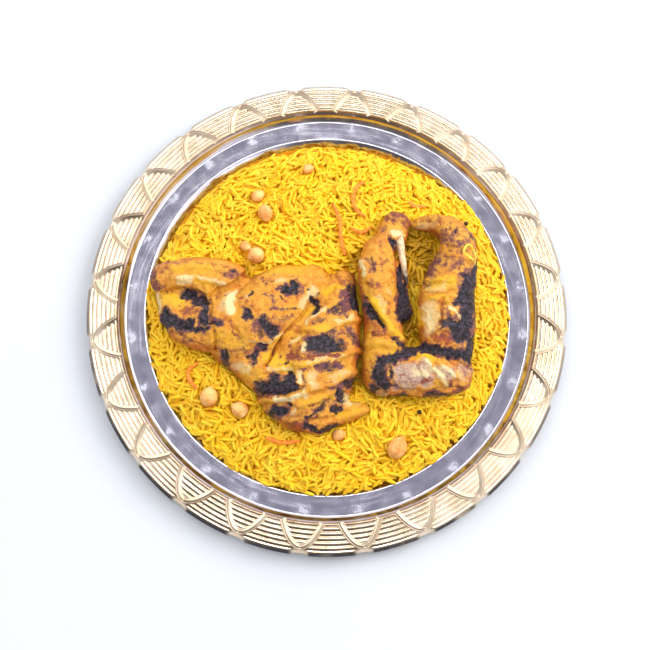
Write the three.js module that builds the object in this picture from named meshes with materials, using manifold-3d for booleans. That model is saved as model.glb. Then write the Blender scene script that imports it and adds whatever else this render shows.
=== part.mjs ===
// Plate of arroz con pollo: a round stamped metal tray filled with yellow long-grain rice. On the
// rice lie a grilled chicken breast with its wing, a grilled leg quarter with its bone showing,
// chickpeas, carrot shreds and a strand of onion.
// Millimetres, +Z up. The origin is on the table, under the middle of the tray.

import * as THREE from 'three';
import { mergeVertices } from 'three/addons/utils/BufferGeometryUtils.js';
import Module from 'manifold-3d';

const wasm = await Module();
wasm.setup();

// ---- Driving dimensions ----

const gap = 0.3; // between pieces that rest on each other

const tray = {
  radius: 175, // outer edge of the skirt
  segments: 48,
  floor: 1, // top of the well's floor, so also the sheet's thickness there
  wellRadius: 126.5,
  ledgeInner: 133,
  ledgeOuter: 147.1,
  ledge: 7, // height of the flat ring round the well
  wallBend: [150.6, 10.4], // radius and height where the wall gets steeper
  wallTop: 151.3,
  bead: 0.8, // how far the rim's inner edge stands over the band
  rimInner: 152,
  rimInnerHeight: 16.6,
  rimOuter: 170.6,
  rimOuterHeight: 14.2,
  skirtBend: [173.2, 12.2], // radius and height
  skirtFoot: 8, // height of the skirt's lower edge
  sheet: 1.4,
  dent: 0.7, // how far the skirt is pulled in at each arch
};

const arches = {
  count: 24,
  turn: THREE.MathUtils.degToRad(8.23), // direction of the first arch
  halfAngle: THREE.MathUtils.degToRad(5.3),
  tip: 169,
  foot: 152.3,
  bend: 1.9, // 2 would be a parabola
  width: 4.4,
  height: 1.6,
  slope: 0.9, // how far each side leans in
  root: 0.4, // how deep the sides reach into the rim
  steps: 5,
};

const rice = {
  radius: 131.4,
  crown: 20.6,
  brim: 8.6,
  shoulder: 68, // radius where the mound starts to fall away
  grainsAcross: 3, // grains lie side by side in small square bundles
  grainWidth: 5.4,
  grainRise: 1.9,
  wander: 6, // how far the rows of bundles wind to and fro
};

const meat = {
  underside: 18.5, // level in the middle, where the meat lies on flat-pressed rice
  left: { from: -85, slope: 0.17 }, // past these lines it bends down over the mound's edge
  right: { from: 85, slope: 0.13 },
  margin: 9, // width of the pressed rice round the meat
};

const colours = {
  metal: 0xc9b79a,
  rice: 0xf2c12e,
  chicken: 0xd98a2b,
  bone: 0xe2c79a,
  chickpea: 0xe0a45c,
  carrot: 0xf08a2c,
  onion: 0xf2b83a,
};

// ---- Helpers ----

const up = new THREE.Vector3(0, 0, 1);

function seededRandom(seed) {
  let state = seed;
  return () => {
    state = (Math.imul(state, 1664525) + 1013904223) >>> 0;
    return state / 2 ** 32;
  };
}

// A closed geometry as a solid, with its shared vertices merged and its faces pointing out.
function solidFrom(geometry) {
  const bare = geometry.clone();
  bare.deleteAttribute('normal');
  bare.deleteAttribute('uv');
  const merged = mergeVertices(bare, 1e-3);
  const points = merged.getAttribute('position');
  const index = merged.getIndex().array;
  const corner = [new THREE.Vector3(), new THREE.Vector3(), new THREE.Vector3()];
  const faces = [];
  let volume = 0;
  for (let i = 0; i < index.length; i += 3) {
    const [a, b, c] = index.slice(i, i + 3);
    if (a === b || b === c || c === a) continue;
    faces.push([a, b, c]);
    corner.forEach((point, k) => point.fromBufferAttribute(points, index[i + k]));
    volume += corner[0].dot(corner[1].clone().cross(corner[2]));
  }
  const outward = volume > 0 ? faces : faces.map(([a, b, c]) => [a, c, b]);
  const vertProperties = Float32Array.from(points.array.slice(0, points.count * 3));
  const triVerts = Uint32Array.from(outward.flat());
  return new wasm.Manifold(new wasm.Mesh({ numProp: 3, vertProperties, triVerts }));
}

function geometryFrom(solid) {
  const { vertProperties, triVerts } = solid.getMesh();
  const geometry = new THREE.BufferGeometry();
  geometry.setAttribute('position', new THREE.BufferAttribute(vertProperties, 3));
  geometry.setIndex(new THREE.BufferAttribute(triVerts, 1));
  geometry.computeVertexNormals();
  return geometry;
}

const join = (solids) => solids.reduce((whole, solid) => whole.add(solid));

// The largest body of a solid, without the scraps that a cut leaves.
function largest(solid) {
  return solid.decompose().sort((a, b) => b.volume() - a.volume())[0];
}

function turned(profile) {
  const points = profile.map(([radius, height]) => new THREE.Vector2(radius, height));
  const geometry = new THREE.LatheGeometry(points, tray.segments);
  return geometry.rotateX(Math.PI / 2);
}

// ---- Tray ----

// Height of the rim's band, which falls evenly from its inner bead to its outer edge.
function rimHeight(radius) {
  const share = (radius - tray.rimInner) / (tray.rimOuter - tray.rimInner);
  return THREE.MathUtils.lerp(tray.rimInnerHeight, tray.rimOuterHeight, share);
}

function trayProfile() {
  const { floor, ledge, ledgeInner, ledgeOuter, wallBend, sheet, skirtBend, skirtFoot } = tray;
  const beadTop = tray.rimInnerHeight + tray.bead;
  const well = [[0, floor], [tray.wellRadius, floor], [ledgeInner, ledge]];
  const beadInner = [tray.wallTop, beadTop - tray.bead / 2];
  const wall = [[ledgeOuter, ledge], wallBend, beadInner, [tray.rimInner, beadTop]];
  const band = [tray.rimInner + 1.2, tray.rimOuter].map((radius) => [radius, rimHeight(radius)]);
  const skirt = [skirtBend, [tray.radius, skirtFoot], [tray.radius - 1, skirtFoot - 0.8]];
  const below = [
    [skirtBend[0] - 2, skirtBend[1] - 1],
    [tray.rimInner + 0.6, rimHeight(tray.rimInner) - sheet],
    [wallBend[0] + 1.2, wallBend[1] - 0.9],
    [ledgeOuter + 0.7, ledge - 1],
    [ledgeInner + 0.6, ledge - 1],
    [tray.wellRadius + 2.5, 0],
    [0, 0],
  ];
  return [...well, ...wall, ...band, ...skirt, ...below];
}

// The turned sheet, with the outer edge of the skirt pulled in a little at every arch.
function traySheet() {
  const geometry = turned(trayProfile());
  const points = geometry.getAttribute('position');
  const pitch = (2 * Math.PI) / arches.count;
  for (let i = 0; i < points.count; i++) {
    const radius = Math.hypot(points.getX(i), points.getY(i));
    const angle = Math.atan2(points.getY(i), points.getX(i));
    const fromArch = Math.abs(angle / pitch - Math.round(angle / pitch));
    if (radius < tray.rimOuter + 2 || fromArch > 0.1) continue;
    const pulled = (radius - tray.dent) / radius;
    points.setXY(i, points.getX(i) * pulled, points.getY(i) * pulled);
  }
  return solidFrom(geometry.rotateZ(arches.turn));
}

// One embossed arch: a flat band, open towards the well, raised over the sloping rim.
function arch(turn) {
  const centre = [];
  for (let step = 0; step <= arches.steps; step++) {
    const share = (2 * step) / arches.steps - 1;
    const radius = arches.tip - (arches.tip - arches.foot) * Math.abs(share) ** arches.bend;
    const angle = turn + share * arches.halfAngle;
    centre.push(new THREE.Vector2(radius * Math.cos(angle), radius * Math.sin(angle)));
  }
  const offset = (distance) => centre.map((point, i) => {
    const before = centre[Math.max(i - 1, 0)];
    const after = centre[Math.min(i + 1, arches.steps)];
    const along = after.clone().sub(before).normalize();
    return new THREE.Vector2(point.x + along.y * distance, point.y - along.x * distance);
  });
  const half = arches.width / 2 - arches.slope;
  const flat = 0.3; // left between the two bevels, the lower of which is folded up into the band
  const band = new THREE.Shape([...offset(half), ...offset(-half).reverse()]);
  const geometry = new THREE.ExtrudeGeometry(band, {
    depth: flat,
    bevelThickness: arches.height + arches.root,
    bevelSize: arches.slope,
    bevelSegments: 1,
  });
  const points = geometry.getAttribute('position');
  for (let i = 0; i < points.count; i++) {
    const radius = Math.hypot(points.getX(i), points.getY(i));
    points.setZ(i, Math.max(points.getZ(i), -flat) - flat - arches.root + rimHeight(radius));
  }
  return solidFrom(geometry);
}

function traySolid() {
  const pitch = (2 * Math.PI) / arches.count;
  const ribs = Array.from({ length: arches.count }, (_, i) => arch(arches.turn + i * pitch));
  return join([traySheet(), ...ribs]);
}

// ---- Chicken ----

// Height of the meat's underside over the table.
function undersideAt(x) {
  const { underside, left, right } = meat;
  const fallLeft = left.slope * Math.max(left.from - x, 0);
  const fallRight = right.slope * Math.max(x - right.from, 0);
  return underside - fallLeft - fallRight;
}

// Everything above the meat's underside, as a block wider than the tray.
function aboveRice() {
  const reach = 1.2 * tray.radius;
  const turns = [-reach, meat.left.from, meat.right.from, reach];
  const outline = turns.map((x) => new THREE.Vector2(x, undersideAt(x)));
  outline.push(new THREE.Vector2(reach, reach), new THREE.Vector2(-reach, reach));
  const settings = { depth: 2 * reach, bevelEnabled: false };
  const block = new THREE.ExtrudeGeometry(new THREE.Shape(outline), settings);
  return solidFrom(block.rotateX(Math.PI / 2).translate(0, reach, 0));
}

// A rounded lump along a curve. Each station is [x, y, z, half width, half height].
function lobe(stations, grow = 0) {
  const rings = stations.length + 5;
  const isWide = stations.some(([, , , width]) => width > 10);
  const places = stations.map(([x, y, z]) => new THREE.Vector3(x, y, z));
  const halves = stations.map(([, , , width, height]) => new THREE.Vector3(width, height, 0));
  const path = new THREE.CatmullRomCurve3(places);
  const sizes = new THREE.CatmullRomCurve3(halves);
  const cap = 2 / rings; // share of the rings that rounds off each end
  const geometry = new THREE.SphereGeometry(1, isWide ? 10 : 8, rings);
  const points = geometry.getAttribute('position');
  for (let i = 0; i < points.count; i++) {
    const unit = new THREE.Vector3().fromBufferAttribute(points, i);
    const share = Math.acos(THREE.MathUtils.clamp(unit.y, -1, 1)) / Math.PI;
    const t = THREE.MathUtils.clamp((share - cap) / (1 - 2 * cap), 0, 1);
    const capAngle = (Math.max(cap - share, share - 1 + cap, 0) / cap) * (Math.PI / 2);
    const size = sizes.getPoint(t);
    const along = path.getTangent(t);
    const side = along.clone().cross(up).normalize();
    const turn = Math.atan2(unit.z, unit.x);
    const beyond = Math.sin(capAngle) * (size.y + grow) * (share < 0.5 ? -1 : 1);
    const point = path.getPoint(t).addScaledVector(along, beyond);
    point.addScaledVector(side, Math.cos(capAngle) * Math.cos(turn) * (size.x + grow));
    point.addScaledVector(up, Math.cos(capAngle) * Math.sin(turn) * (size.y + grow));
    points.setXYZ(i, point.x, point.y, point.z);
  }
  return solidFrom(geometry);
}

const breastLobes = [
  // wing flat, bent back on the drumette
  [[-120, 20, 21.5, 11, 9], [-103, 20, 25, 14.5, 10], [-80, 18.5, 28, 15.5, 10], [-66, 18.5, 28, 11.5, 9]],
  [[-115, 6, 21, 8.5, 9], [-103, -8, 24, 18, 11], [-88, -13, 27, 21.5, 13], [-70, -12, 28, 23, 14]],
  // upper and lower half of the breast, and the thick middle between them
  [[-70, -31, 23, 19, 13], [-50, -14, 27, 28, 18], [-32, 4, 27, 27, 18], [-12, 16, 25, 15, 14]],
  [[9, 15, 24, 11, 12], [1, -16, 27, 23, 19], [-10, -44, 27, 30, 19], [-22, -74, 24, 31, 15]],
  [[-60, -38, 23, 13, 12], [-38, -50, 26, 18, 15], [-22, -58, 26, 16, 15]],
  // loose tip
  [[4, -75, 22, 11, 7], [16, -75, 22, 7, 6], [25, -73, 21, 4, 4]],
];

const legLobes = [
  // knuckle, drumstick and thigh
  [[45, 51, 27, 12, 9.5], [47, 57, 27, 11.5, 9]],
  [[46.5, 61.5, 26.5, 8.5, 8], [51, 61, 26.5, 8.5, 8]],
  [[41, 48, 28, 9, 10], [34.5, 33, 31, 13.5, 13], [34.5, 16, 32, 14, 14], [36, 0, 31, 12.5, 13],
    [38, -16, 29, 13, 12]],
  [[38, -14, 28, 13.5, 13], [38.5, -32, 28, 15, 14], [38, -52, 25, 15, 13]],
  // cut back, and the skin-covered arm that bends up from it
  [[37, -50, 26, 15, 12], [56, -48, 28, 18, 14], [76, -47, 28, 18.5, 13], [91, -48, 26, 16, 11]],
  [[64, 60, 26, 4, 4], [77, 60, 28, 6.5, 9], [90, 52, 29, 12, 12], [93, 38, 30, 14.5, 14],
    [88.5, 24, 30, 18, 15], [84.5, 8, 30, 20, 14.5], [83, -8, 29, 21.5, 14], [84.5, -26, 28, 19, 13],
    [86, -38, 27, 16, 12]],
  // burnt shank along the bone
  [[50, 30, 24, 3.5, 6], [51.5, 12, 24, 5, 6.5], [53.5, -5, 24, 7.5, 7]],
];

const legBone = [
  [50, 50, 30, 3.3, 3.2], [51.6, 41, 31, 2.9, 2.6], [53.4, 30, 30.5, 2.3, 2.3], [55.4, 16, 29, 1.6, 1.6],
];

function chicken(lobes) {
  return join(lobes.map((stations) => lobe(stations))).intersect(aboveRice());
}

// ---- Rice ----

// The mound without its grains: level in the middle, falling away to the brim, gently uneven.
function riceLevel(x, y) {
  const past = (Math.hypot(x, y) - rice.shoulder) / (rice.radius - rice.shoulder);
  const fall = THREE.MathUtils.clamp(past, 0, 1.2);
  const swell = 0.7 * Math.sin(x / 17 + 1) * Math.sin(y / 14 + 2) + 0.4 * Math.sin((x + y) / 9);
  return rice.brim + (rice.crown - rice.brim) * (1 - fall * fall) + swell;
}

// Round spots along each lump of meat, which together cover what the meat lies over.
function spotsUnder(stations) {
  const spots = stations.map(([x, y, , width]) => new THREE.Vector3(x, y, width));
  return new THREE.CatmullRomCurve3(spots).getPoints(4 * stations.length);
}
const pressedSpots = [...breastLobes, ...legLobes].flatMap(spotsUnder);

function isPressed(x, y) {
  return pressedSpots.some((spot) => Math.hypot(x - spot.x, y - spot.y) < spot.z + meat.margin);
}

// Height of a point of the bed that would stand so far above the bare mound.
function bedLevel(x, y, rise) {
  const level = riceLevel(x, y) + rise;
  return isPressed(x, y) ? Math.min(level, undersideAt(x) - gap) : level;
}

// A square sheet of grains. Each grain is a small hipped roof, and the grains of a bundle lie one way
// or the other.
function grainSheet() {
  const perBundle = rice.grainsAcross;
  const bundles = 2 * Math.ceil(rice.radius / (perBundle * rice.grainWidth));
  const knots = bundles * perBundle;
  const random = seededRandom(7);
  const positions = [];
  const faces = [];

  const addPoint = (i, j, rise, loose) => {
    const x = (i - knots / 2) * rice.grainWidth + (random() - 0.5) * loose;
    const y = (j - knots / 2) * rice.grainWidth + (random() - 0.5) * loose;
    const bentX = x + rice.wander * Math.sin(y / 21 + 0.6);
    const bentY = y + rice.wander * Math.sin(x / 24 + 2.2);
    positions.push(bentX, bentY, bedLevel(bentX, bentY, rise));
    return positions.length / 3 - 1;
  };

  const valley = Array.from({ length: knots + 1 }, (_, i) =>
    Array.from({ length: knots + 1 }, (_, j) => addPoint(i, j, -0.5 * random(), 1.6)));

  // A grain between start and end, closed by a loop of valley points that runs anticlockwise.
  const addGrain = (loop, start, end, nearStart) => {
    const hub = loop.map((_, k) => (nearStart(k) ? start : end));
    loop.forEach((point, k) => {
      const next = (k + 1) % loop.length;
      faces.push(point, loop[next], hub[k]);
      if (hub[k] !== hub[next]) faces.push(loop[next], hub[next], hub[k]);
    });
  };

  const marks = Array.from({ length: perBundle + 1 }, (_, k) => k); // knots along one side of a bundle
  const isFlat = (column, row) => marks.every((a) => marks.every((b) => {
    const point = 3 * valley[column * perBundle + a]?.[row * perBundle + b];
    return isPressed(positions[point], positions[point + 1]);
  }));

  // A bundle that lies wholly under the meat is flat, and needs no points between two such bundles.
  const addFlat = (column, row) => {
    const at = (i, j) => valley[column * perBundle + i][row * perBundle + j];
    const starts = marks.slice(0, -1);
    const sides = [
      { right: 0, on: -1, points: starts.map((a) => at(a, 0)) },
      { right: 1, on: 0, points: starts.map((a) => at(perBundle, a)) },
      { right: 0, on: 1, points: starts.map((a) => at(perBundle - a, perBundle)) },
      { right: -1, on: 0, points: starts.map((a) => at(0, perBundle - a)) },
    ];
    const loop = sides.flatMap(({ right, on, points }) =>
      (isFlat(column + right, row + on) ? points.slice(0, 1) : points));
    const middle = addPoint((column + 0.5) * perBundle, (row + 0.5) * perBundle, 0, 0);
    addGrain(loop, middle, middle, () => true);
  };

  const addBundle = (column, row) => {
    if (isFlat(column, row)) return addFlat(column, row);
    const upright = random() < 0.5;
    // a runs along the grains and b across them
    const place = (a, b) => [
      column * perBundle + (upright ? perBundle - b : a),
      row * perBundle + (upright ? a : b),
    ];
    const knot = (a, b) => {
      const [i, j] = place(a, b);
      return valley[i][j];
    };
    for (let b = 0; b < perBundle; b++) {
      const near = b === 0 ? marks : [0, perBundle];
      const far = b === perBundle - 1 ? marks.toReversed() : [perBundle, 0];
      const along = [...near, ...far];
      const loop = [...near.map((a) => knot(a, b)), ...far.map((a) => knot(a, b + 1))];
      const middle = (k) => (along[k] + along[(k + 1) % along.length]) / 2;
      const rise = rice.grainRise * (0.7 + 0.5 * random());
      const start = addPoint(...place(perBundle * 0.2, b + 0.5), rise, 1);
      const end = addPoint(...place(perBundle * 0.8, b + 0.5), rise, 1);
      addGrain(loop, start, end, (k) => middle(k) < perBundle / 2);
    }
  };
  for (let column = 0; column < bundles; column++) {
    for (let row = 0; row < bundles; row++) addBundle(column, row);
  }

  // The sides and the underside, well below the mound.
  const rounds = Array.from({ length: knots }, (_, k) => k);
  const edge = [
    ...rounds.map((k) => valley[k][0]),
    ...rounds.map((k) => valley[knots][k]),
    ...rounds.map((k) => valley[knots - k][knots]),
    ...rounds.map((k) => valley[0][knots - k]),
  ];
  const depth = -20;
  const foot = edge.map((point) => {
    positions.push(positions[3 * point], positions[3 * point + 1], depth);
    return positions.length / 3 - 1;
  });
  positions.push(0, 0, depth);
  const middle = positions.length / 3 - 1;
  edge.forEach((point, k) => {
    const next = (k + 1) % edge.length;
    faces.push(edge[next], point, foot[k], edge[next], foot[k], foot[next], foot[next], foot[k], middle);
  });

  const geometry = new THREE.BufferGeometry();
  geometry.setAttribute('position', new THREE.Float32BufferAttribute(positions, 3));
  geometry.setIndex(faces);
  return solidFrom(geometry);
}

// The inside of the well, a little clear of the metal.
function wellSpace() {
  const top = 2 * rice.crown;
  const profile = [
    [0, tray.floor + gap],
    [tray.wellRadius - 2 * gap, tray.floor + gap],
    [rice.radius, tray.ledge - 0.8],
    [rice.radius, top],
    [0, top],
  ];
  return solidFrom(turned(profile).rotateZ(arches.turn));
}

// ---- Chickpeas, carrot shreds and onion ----

// Each is [x, y, length, width, direction of the beak in degrees].
const chickpeas = [
  [-52, 83, 10, 8.5, 40],
  [-46, 69, 13, 10.5, 100],
  [-52, 37, 12, 11.5, 200],
  [-15, 105, 8, 7, 20],
  [-84, -65, 14, 12.5, 80],
  [-62, -74, 12, 11, 150],
  [7, -91, 9, 8, 10],
  [48, -100, 17, 13, 60],
  [-60, 44, 9, 7, 330],
];

function chickpea([x, y, length, width, beak], grow = 0) {
  const geometry = new THREE.SphereGeometry(1, 8, 5);
  geometry.rotateZ(-Math.PI / 2);
  geometry.scale(length / 2 + grow, width / 2 + grow, width / 2.2 + grow);
  geometry.rotateZ(THREE.MathUtils.degToRad(beak));
  return solidFrom(geometry.translate(x, y, bedLevel(x, y, rice.grainRise) + 0.2 * width));
}

const shredSteps = 6;

// A flat shred that follows a bent line over what lies under it, and narrows towards its ends.
function shred(line, width, thickness, heightAt) {
  const path = new THREE.CatmullRomCurve3(line.map(([x, y]) => new THREE.Vector3(x, y, 0)));
  const geometry = new THREE.BoxGeometry(1, width, thickness, shredSteps, 1, 1);
  const points = geometry.getAttribute('position');
  for (let i = 0; i < points.count; i++) {
    const t = points.getX(i) + 0.5;
    const side = path.getTangent(t).cross(up).normalize();
    const narrowing = 1 - 0.5 * Math.abs(2 * t - 1) ** 4;
    const middle = path.getPoint(t);
    const height = heightAt(middle.x, middle.y) + points.getZ(i);
    middle.addScaledVector(side, points.getY(i) * narrowing);
    points.setXYZ(i, middle.x, middle.y, height);
  }
  return solidFrom(geometry);
}

const carrots = [
  [[27, 95], [20, 89], [18, 80], [21, 71], [27, 67]],
  [[3, 77], [8, 64], [9, 50], [12, 38]],
  [[16, 58], [24, 55], [31, 59]],
  [[-92, -40], [-99, -46], [-98, -53], [-92, -59]],
  [[58, 80], [64, 76], [72, 77]],
  [[-44, -93], [-33, -96.5], [-20, -95.5]],
];
const carrotWidth = 3;
const carrotThickness = 1.2;

const onion = {
  line: [[103, 41], [98.5, 39], [95.5, 34.5], [97.5, 30], [102, 28]],
  width: 2.2,
  thickness: 1.1,
};

// ---- Whole plate ----

const plate = new THREE.Group();

function addPiece(name, solid, color, roughness = 0.6, metalness = 0) {
  const material = new THREE.MeshStandardMaterial({ color, roughness, metalness });
  const mesh = new THREE.Mesh(geometryFrom(solid), material);
  mesh.name = name;
  plate.add(mesh);
  return mesh;
}

addPiece('platter', traySolid(), colours.metal, 0.2, 1);

const boneSpace = lobe(legBone, gap);
const leg = addPiece('leg', largest(chicken(legLobes).subtract(boneSpace)), colours.chicken);
addPiece('leg_bone', lobe(legBone), colours.bone);
addPiece('breast', chicken(breastLobes), colours.chicken);

const hollowed = chickpeas.reduce(
  (bed, pea) => bed.subtract(chickpea(pea, gap)),
  grainSheet().intersect(wellSpace()),
);
addPiece('rice_bed', largest(hollowed), colours.rice, 0.55);

chickpeas.forEach((pea, i) => addPiece(`chickpea_${i + 1}`, chickpea(pea), colours.chickpea));

const overGrains = (x, y) => riceLevel(x, y) + 1.2 * rice.grainRise + gap + carrotThickness / 2;
carrots.forEach((line, i) =>
  addPiece(`carrot_${i + 1}`, shred(line, carrotWidth, carrotThickness, overGrains), colours.carrot));

// Height of a strand that clears the leg's skin, found with rays from above.
function overSkin(x, y) {
  const reach = onion.width / 2;
  const down = new THREE.Vector3(0, 0, -1);
  const heights = [[0, 0], [reach, 0], [-reach, 0], [0, reach], [0, -reach]].flatMap(([right, on]) => {
    const ray = new THREE.Raycaster(new THREE.Vector3(x + right, y + on, 100), down);
    return ray.intersectObject(leg).map((hit) => hit.point.z);
  });
  return Math.max(...heights) + gap + onion.thickness / 2;
}
addPiece('onion_strand', shred(onion.line, onion.width, onion.thickness, overSkin), colours.onion);

export default plate;
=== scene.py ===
import math
from itertools import product

import bmesh
import bpy
import numpy as np
from mathutils import Matrix, Vector
from mathutils.bvhtree import BVHTree


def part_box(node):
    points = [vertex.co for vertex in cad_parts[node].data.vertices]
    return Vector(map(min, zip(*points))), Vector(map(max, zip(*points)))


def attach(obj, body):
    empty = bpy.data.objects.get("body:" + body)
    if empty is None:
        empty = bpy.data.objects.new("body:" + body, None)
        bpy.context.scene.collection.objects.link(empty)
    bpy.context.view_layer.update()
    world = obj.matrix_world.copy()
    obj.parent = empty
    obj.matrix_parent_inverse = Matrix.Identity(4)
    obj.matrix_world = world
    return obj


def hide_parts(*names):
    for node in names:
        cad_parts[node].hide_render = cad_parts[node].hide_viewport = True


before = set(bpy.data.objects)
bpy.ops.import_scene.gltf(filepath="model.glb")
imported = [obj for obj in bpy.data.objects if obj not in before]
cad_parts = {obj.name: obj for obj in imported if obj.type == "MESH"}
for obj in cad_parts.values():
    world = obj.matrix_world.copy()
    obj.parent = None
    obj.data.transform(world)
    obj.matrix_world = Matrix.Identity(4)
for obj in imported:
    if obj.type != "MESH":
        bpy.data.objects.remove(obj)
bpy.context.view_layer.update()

scene = bpy.context.scene

# ---- Camera ----
# The photograph is taken from nearly overhead, a little from the diner's side of the tray. The
# camera's place and lens were found by fitting them to the rings of the tray.

eye = Vector((-0.01789, -0.13997, 0.66485))
looked_at = Vector((-0.00238, -0.01187, 0.01450))
lens = 50.94
forward = (looked_at - eye).normalized()
rightward = forward.cross(Vector((0, 1, 0))).normalized()
upward = rightward.cross(forward)
camera = bpy.data.objects.new("camera", bpy.data.cameras.new("camera"))
camera.data.lens = lens
aimed = Matrix((rightward, upward, -forward)).transposed().to_4x4()
camera.matrix_world = Matrix.Translation(eye) @ aimed
scene.collection.objects.link(camera)
scene.camera = camera
scene.view_settings.view_transform = "Standard"

# ---- Studio light ----
# A pale room with a greyer ceiling, banded with light and dark for the metal to mirror, and with one
# tiny bright patch overhead that glints on wet skin. A window lamp and a broad ceiling lamp light the
# food and lay a faint bluish shadow at the left.


def add_node(tree, kind, inputs=None, **settings):
    """A shader node. Each input is a value, or the output of another node."""
    made = tree.nodes.new(kind)
    for name, value in settings.items():
        setattr(made, name, value)
    for name, value in (inputs or {}).items():
        if isinstance(value, bpy.types.NodeSocket):
            tree.links.new(value, made.inputs[name])
        else:
            made.inputs[name].default_value = value
    return made


def srgb(red, green, blue):
    """A colour as the screen shows it, 0 to 255, as the light values that Blender works in."""
    shares = np.array([red, green, blue]) / 255
    linear = np.where(shares < 0.04045, shares / 12.92, ((shares + 0.055) / 1.055) ** 2.4)
    return (*linear.tolist(), 1.0)


room = bpy.data.worlds.new("studio")
room.use_nodes = True
scene.world = room
sky = room.node_tree
direction = add_node(sky, "ShaderNodeTexCoord").outputs["Generated"]


def towards(place, low, high):
    """How much a direction of the room faces one place, from 0 to 1."""
    facing = add_node(sky, "ShaderNodeVectorMath", {0: direction, 1: place}, operation="DOT_PRODUCT")
    spread = {"Value": facing.outputs["Value"], "From Min": low, "From Max": high}
    return add_node(sky, "ShaderNodeMapRange", spread, interpolation_type="SMOOTHSTEP").outputs["Result"]


# Where each patch of the room is, how closely it must be faced to begin and to be full, and its light:
# a bright frieze, the walls, a window, the dark front, the dark below the horizon, the ceiling and the
# small bright patch. Each lies over those before it.
patches = [
    ((0, 0, -1), -0.70, -0.60, (1.75, 1.73, 1.70)),
    ((0, 0, -1), -0.40, -0.32, (0.9, 0.88, 0.86)),
    ((0.85, 0.32, 0.42), 0.55, 0.92, (1.9, 1.87, 1.83)),
    ((-0.22, -0.93, 0.28), 0.66, 0.86, (0.15, 0.13, 0.12)),
    ((0, 0, -1), -0.24, -0.14, (0.10, 0.09, 0.08)),
    ((-0.02, 0.12, 0.99), 0.88, 0.965, (0.42, 0.41, 0.465)),
    ((0.0, 0.21, 0.978), 0.9966, 0.9986, (12, 11.8, 11.4)),
]
all_round = (0.66, 0.65, 0.66, 1)
for place, low, high, light in patches:
    layers = {0: towards(place, low, high), 6: all_round, 7: (*light, 1)}
    all_round = add_node(sky, "ShaderNodeMix", layers, data_type="RGBA").outputs[2]
sky.links.new(all_round, sky.nodes["Background"].inputs["Color"])

# Name, power in watts, width in metres, colour and place of each lamp. The metal mirrors only the room.
lamps = [("window_lamp", 10, 0.7, (1.0, 0.97, 0.93), (0.92, 0.45, 0.80)),
         ("ceiling_lamp", 8, 1.4, (0.95, 0.97, 1.0), (-0.35, 0.25, 1.30))]
for name, power, width, colour, spot in lamps:
    lamp = bpy.data.objects.new(name, bpy.data.lights.new(name, "AREA"))
    lamp.data.energy = power
    lamp.data.size = width
    lamp.data.color = colour
    lamp.location = spot
    lamp.rotation_euler = (-lamp.location).to_track_quat("-Z", "Y").to_euler()
    lamp.visible_glossy = False
    scene.collection.objects.link(lamp)

# ---- Table ----
# A plain table top painted white, a little cloudy. It carries the plate and takes its shadow, and
# is stage, not a piece of the plate.


def build(name, points, *face_groups):
    """An object from points in millimetres and arrays of faces with the same number of corners."""
    mesh = bpy.data.meshes.new(name)
    corners = np.concatenate([faces.ravel() for faces in face_groups]).astype(np.int32)
    sizes = np.concatenate([np.full(len(faces), faces.shape[1]) for faces in face_groups])
    mesh.vertices.add(len(points))
    mesh.vertices.foreach_set("co", (np.asarray(points) / 1000).astype(np.float32).ravel())
    mesh.loops.add(len(corners))
    mesh.loops.foreach_set("vertex_index", corners)
    mesh.polygons.add(len(sizes))
    mesh.polygons.foreach_set("loop_start", np.concatenate([[0], np.cumsum(sizes)[:-1]]).astype(np.int32))
    mesh.polygons.foreach_set("use_smooth", np.ones(len(sizes), dtype=bool))
    mesh.update(calc_edges=True)
    mesh.validate()
    piece = bpy.data.objects.new(name, mesh)
    scene.collection.objects.link(piece)
    return piece


def surface(name, **sockets):
    """A material, its node tree, its shader and the place of each point on the object."""
    made = bpy.data.materials.new(name)
    made.use_nodes = True
    tree = made.node_tree
    shader = tree.nodes["Principled BSDF"]
    for socket, value in sockets.items():
        shader.inputs[socket.replace("_", " ")].default_value = value
    place = add_node(tree, "ShaderNodeTexCoord").outputs["Object"]
    return made, tree, shader, place


def speckle(tree, place, per_metre, detail=3.0, roughness=0.5, low=0.35, high=0.65):
    """Procedural noise with so many lumps to the metre, spread between 0 and 1."""
    noise = add_node(tree, "ShaderNodeTexNoise", {"Vector": place, "Scale": per_metre, "Detail": detail,
                                                  "Roughness": roughness})
    return add_node(tree, "ShaderNodeMapRange", {"Value": noise.outputs["Fac"], "From Min": low,
                                                 "From Max": high}).outputs["Result"]


def blended(tree, share, first, second, blend_type="MIX"):
    """Two colours mixed, or one laid on the other, by a share."""
    return add_node(tree, "ShaderNodeMix", {0: share, 6: first, 7: second}, data_type="RGBA",
                    blend_type=blend_type).outputs[2]


def bumped(tree, shader, height, depth):
    """Gives the shader a fine relief, so many metres deep."""
    bump = add_node(tree, "ShaderNodeBump", {"Height": height, "Distance": depth})
    tree.links.new(bump.outputs["Normal"], shader.inputs["Normal"])
    tree.links.new(bump.outputs["Normal"], shader.inputs["Coat Normal"])


table_reach = 2500
table = build("table", np.array([[-1, -1, 0], [1, -1, 0], [1, 1, 0], [-1, 1, 0]]) * table_reach,
              np.array([[0, 1, 2, 3]]))
table_white, tree, shader, place = surface("table_white", Roughness=0.8)
cloudy = blended(tree, speckle(tree, place, 6), (0.635, 0.665, 0.72, 1), (0.655, 0.685, 0.735, 1))
tree.links.new(cloudy, shader.inputs["Base Color"])
table.data.materials.append(table_white)

# ---- Tray: steel well ----
# The middle of the tray is bare polished steel: a flat floor, a bend up to a flat ring, and a steep
# wall to the rim, whose gold plating runs down over its top. Under every arch of the rim the ring
# carries a pale, dull patch, a painted reflection of the arch, and faint streaks of wear run along it.

arch_count = 24
first_arch = math.radians(8.23)


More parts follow.
